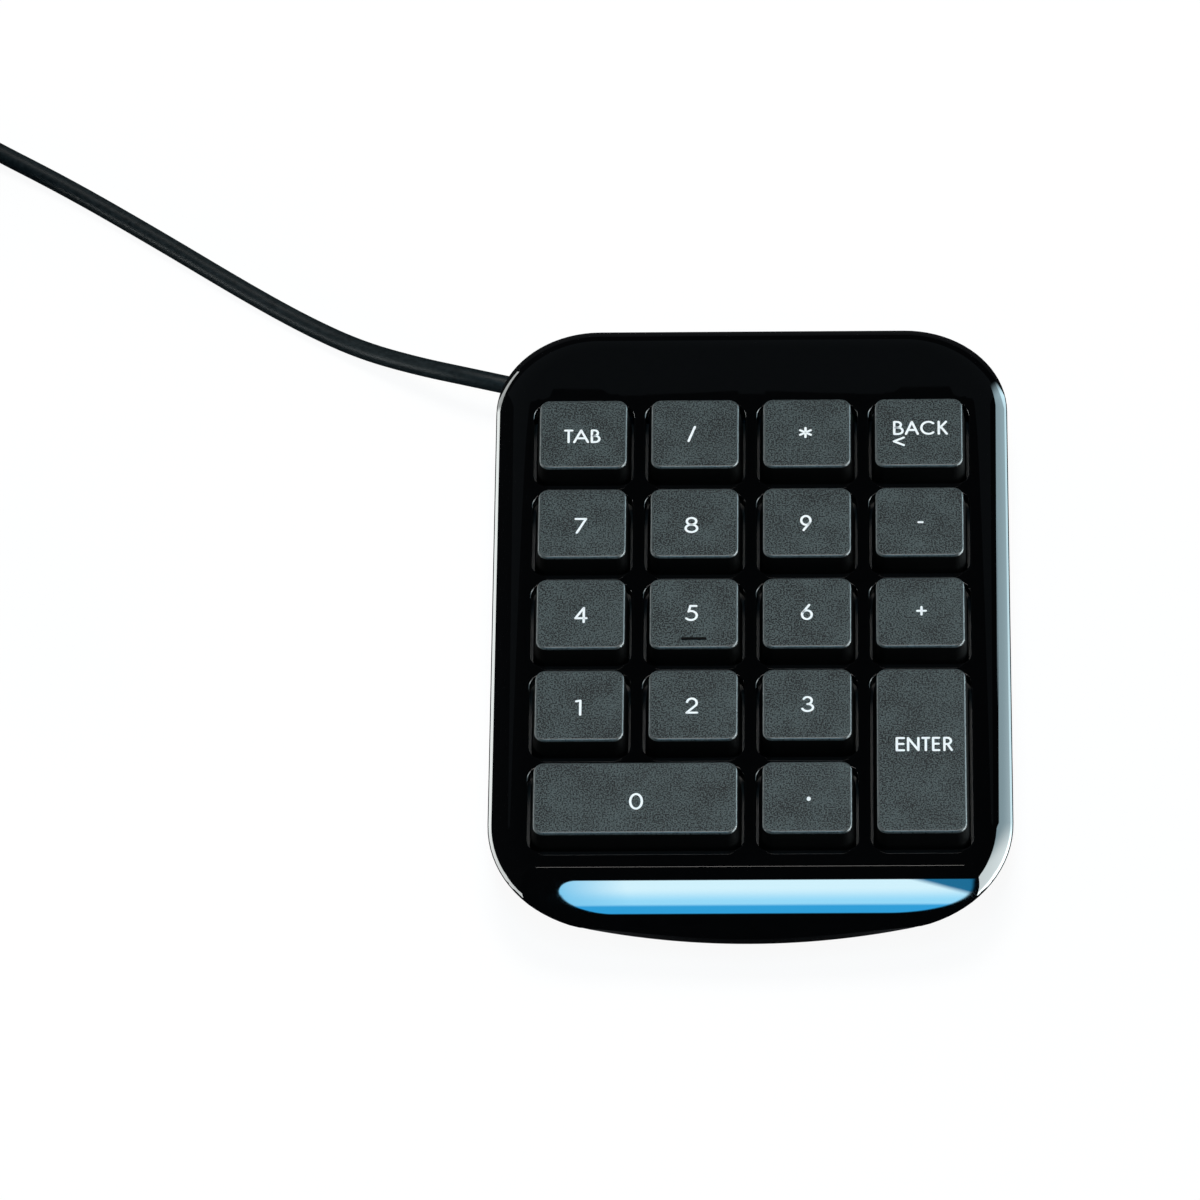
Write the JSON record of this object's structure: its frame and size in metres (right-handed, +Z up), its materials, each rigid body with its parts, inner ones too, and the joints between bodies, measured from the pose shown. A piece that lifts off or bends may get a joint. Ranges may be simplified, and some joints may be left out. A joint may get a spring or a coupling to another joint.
{
  "type": "numeric keypad",
  "caption": "Wired numeric keypad: slim black housing, raised matte keys in a glossy deck, sloping front lip and a cord with a plug.",
  "frame": {"origin": "on the desk, under the middle of the housing's plan outline", "axes": "+X to the user's right, +Y away from the user towards the cord side, +Z up"},
  "size_m": [0.2261, 0.1908, 0.019],
  "materials": {
    "gloss_shell": "polished black ABS",
    "matte_shell": "fine spark texture, black ABS",
    "key_plastic": "fine matte grain, charcoal ABS with white printed legends",
    "guide_plastic": "moulded black ABS",
    "dome_silicone": "translucent silicone",
    "contact_film": "clear polyester film with printed silver tracks",
    "zinc_steel": "zinc plated",
    "board_laminate": "green solder resist",
    "chip_epoxy": "moulded epoxy",
    "connector_nylon": "natural nylon",
    "foot_rubber": "matte rubber",
    "cord_jacket": "satin PVC jacket",
    "plug_jacket": "satin moulded PVC",
    "tie_band": "woven hook-and-loop band",
    "bright_can": "nickel plated",
    "tongue_plastic": "white nylon",
    "gold_contact": "gold plated"
  },
  "bodies": {
    "housing": {"top_cover": "gloss_shell", "bottom_cover": "matte_shell", "rubber_feet": "foot_rubber", "case_screws": "zinc_steel", "backplate": "zinc_steel", "membrane_lower": "contact_film", "membrane_spacer": "contact_film", "membrane_upper": "contact_film", "dome_sheet": "dome_silicone", "key_guide_plate": "guide_plastic", "controller_board": "board_laminate", "board_screws": "zinc_steel", "pressure_strip": "foot_rubber", "controller_chip": "chip_epoxy", "resonator": "bright_can", "cable_connector": "connector_nylon", "cable_grommet": "cord_jacket", "inner_lead": "cord_jacket", "usb_cable": "cord_jacket", "cable_coil": "cord_jacket", "cable_tail": "cord_jacket", "cable_tie": "tie_band", "plug_grip": "plug_jacket", "plug_shell": "bright_can", "plug_tongue": "tongue_plastic", "plug_contacts": "gold_contact"},
    "key_tab": {"keycap_tab": "key_plastic"},
    "key_divide": {"keycap_divide": "key_plastic"},
    "key_multiply": {"keycap_multiply": "key_plastic"},
    "key_back": {"keycap_back": "key_plastic"},
    "key_7": {"keycap_7": "key_plastic"},
    "key_8": {"keycap_8": "key_plastic"},
    "key_9": {"keycap_9": "key_plastic"},
    "key_minus": {"keycap_minus": "key_plastic"},
    "key_4": {"keycap_4": "key_plastic"},
    "key_5": {"keycap_5": "key_plastic"},
    "key_6": {"keycap_6": "key_plastic"},
    "key_plus": {"keycap_plus": "key_plastic"},
    "key_1": {"keycap_1": "key_plastic"},
    "key_2": {"keycap_2": "key_plastic"},
    "key_3": {"keycap_3": "key_plastic"},
    "key_enter": {"keycap_enter": "key_plastic"},
    "key_0": {"keycap_0": "key_plastic"},
    "key_point": {"keycap_point": "key_plastic"},
    "wire_zero": {"stabiliser_wire_zero": "zinc_steel"},
    "wire_enter": {"stabiliser_wire_enter": "zinc_steel"}
  },
  "joints": [
    {"name": "press_tab", "type": "slide", "parent": "housing", "child": "key_tab", "axis": [0, 0, -1], "range_m": [0, 0.003], "stiffness_N_per_m": 180, "springref_m": -0.0006, "deforming": ["dome_sheet"]},
    {"name": "press_divide", "type": "slide", "parent": "housing", "child": "key_divide", "axis": [0, 0, -1], "range_m": [0, 0.003], "stiffness_N_per_m": 180, "springref_m": -0.0006, "deforming": ["dome_sheet"]},
    {"name": "press_multiply", "type": "slide", "parent": "housing", "child": "key_multiply", "axis": [0, 0, -1], "range_m": [0, 0.003], "stiffness_N_per_m": 180, "springref_m": -0.0006, "deforming": ["dome_sheet"]},
    {"name": "press_back", "type": "slide", "parent": "housing", "child": "key_back", "axis": [0, 0, -1], "range_m": [0, 0.003], "stiffness_N_per_m": 180, "springref_m": -0.0006, "deforming": ["dome_sheet"]},
    {"name": "press_7", "type": "slide", "parent": "housing", "child": "key_7", "axis": [0, 0, -1], "range_m": [0, 0.003], "stiffness_N_per_m": 180, "springref_m": -0.0006, "deforming": ["dome_sheet"]},
    {"name": "press_8", "type": "slide", "parent": "housing", "child": "key_8", "axis": [0, 0, -1], "range_m": [0, 0.003], "stiffness_N_per_m": 180, "springref_m": -0.0006, "deforming": ["dome_sheet"]},
    {"name": "press_9", "type": "slide", "parent": "housing", "child": "key_9", "axis": [0, 0, -1], "range_m": [0, 0.003], "stiffness_N_per_m": 180, "springref_m": -0.0006, "deforming": ["dome_sheet"]},
    {"name": "press_minus", "type": "slide", "parent": "housing", "child": "key_minus", "axis": [0, 0, -1], "range_m": [0, 0.003], "stiffness_N_per_m": 180, "springref_m": -0.0006, "deforming": ["dome_sheet"]},
    {"name": "press_4", "type": "slide", "parent": "housing", "child": "key_4", "axis": [0, 0, -1], "range_m": [0, 0.003], "stiffness_N_per_m": 180, "springref_m": -0.0006, "deforming": ["dome_sheet"]},
    {"name": "press_5", "type": "slide", "parent": "housing", "child": "key_5", "axis": [0, 0, -1], "range_m": [0, 0.003], "stiffness_N_per_m": 180, "springref_m": -0.0006, "deforming": ["dome_sheet"]},
    {"name": "press_6", "type": "slide", "parent": "housing", "child": "key_6", "axis": [0, 0, -1], "range_m": [0, 0.003], "stiffness_N_per_m": 180, "springref_m": -0.0006, "deforming": ["dome_sheet"]},
    {"name": "press_plus", "type": "slide", "parent": "housing", "child": "key_plus", "axis": [0, 0, -1], "range_m": [0, 0.003], "stiffness_N_per_m": 180, "springref_m": -0.0006, "deforming": ["dome_sheet"]},
    {"name": "press_1", "type": "slide", "parent": "housing", "child": "key_1", "axis": [0, 0, -1], "range_m": [0, 0.003], "stiffness_N_per_m": 180, "springref_m": -0.0006, "deforming": ["dome_sheet"]},
    {"name": "press_2", "type": "slide", "parent": "housing", "child": "key_2", "axis": [0, 0, -1], "range_m": [0, 0.003], "stiffness_N_per_m": 180, "springref_m": -0.0006, "deforming": ["dome_sheet"]},
    {"name": "press_3", "type": "slide", "parent": "housing", "child": "key_3", "axis": [0, 0, -1], "range_m": [0, 0.003], "stiffness_N_per_m": 180, "springref_m": -0.0006, "deforming": ["dome_sheet"]},
    {"name": "press_enter", "type": "slide", "parent": "housing", "child": "key_enter", "axis": [0, 0, -1], "range_m": [0, 0.003], "stiffness_N_per_m": 180, "springref_m": -0.0006, "deforming": ["dome_sheet"]},
    {"name": "press_0", "type": "slide", "parent": "housing", "child": "key_0", "axis": [0, 0, -1], "range_m": [0, 0.003], "stiffness_N_per_m": 180, "springref_m": -0.0006, "deforming": ["dome_sheet"]},
    {"name": "press_point", "type": "slide", "parent": "housing", "child": "key_point", "axis": [0, 0, -1], "range_m": [0, 0.003], "stiffness_N_per_m": 180, "springref_m": -0.0006, "deforming": ["dome_sheet"]},
    {"name": "swing_wire_zero", "type": "hinge", "parent": "housing", "child": "wire_zero", "pos_m": [-0.019, -0.03475, 0.01025], "axis": [1, 0, 0], "range_deg": [0, 24.3]},
    {"name": "swing_wire_enter", "type": "hinge", "parent": "housing", "child": "wire_enter", "pos_m": [0.0232, -0.03055, 0.01025], "axis": [0, 1, 0], "range_deg": [0, 24.3]}
  ],
  "couplings": [
    {"joint": "swing_wire_zero", "follows": "press_0", "rad_per_m": 140.82},
    {"joint": "swing_wire_enter", "follows": "press_enter", "rad_per_m": 140.82}
  ]
}
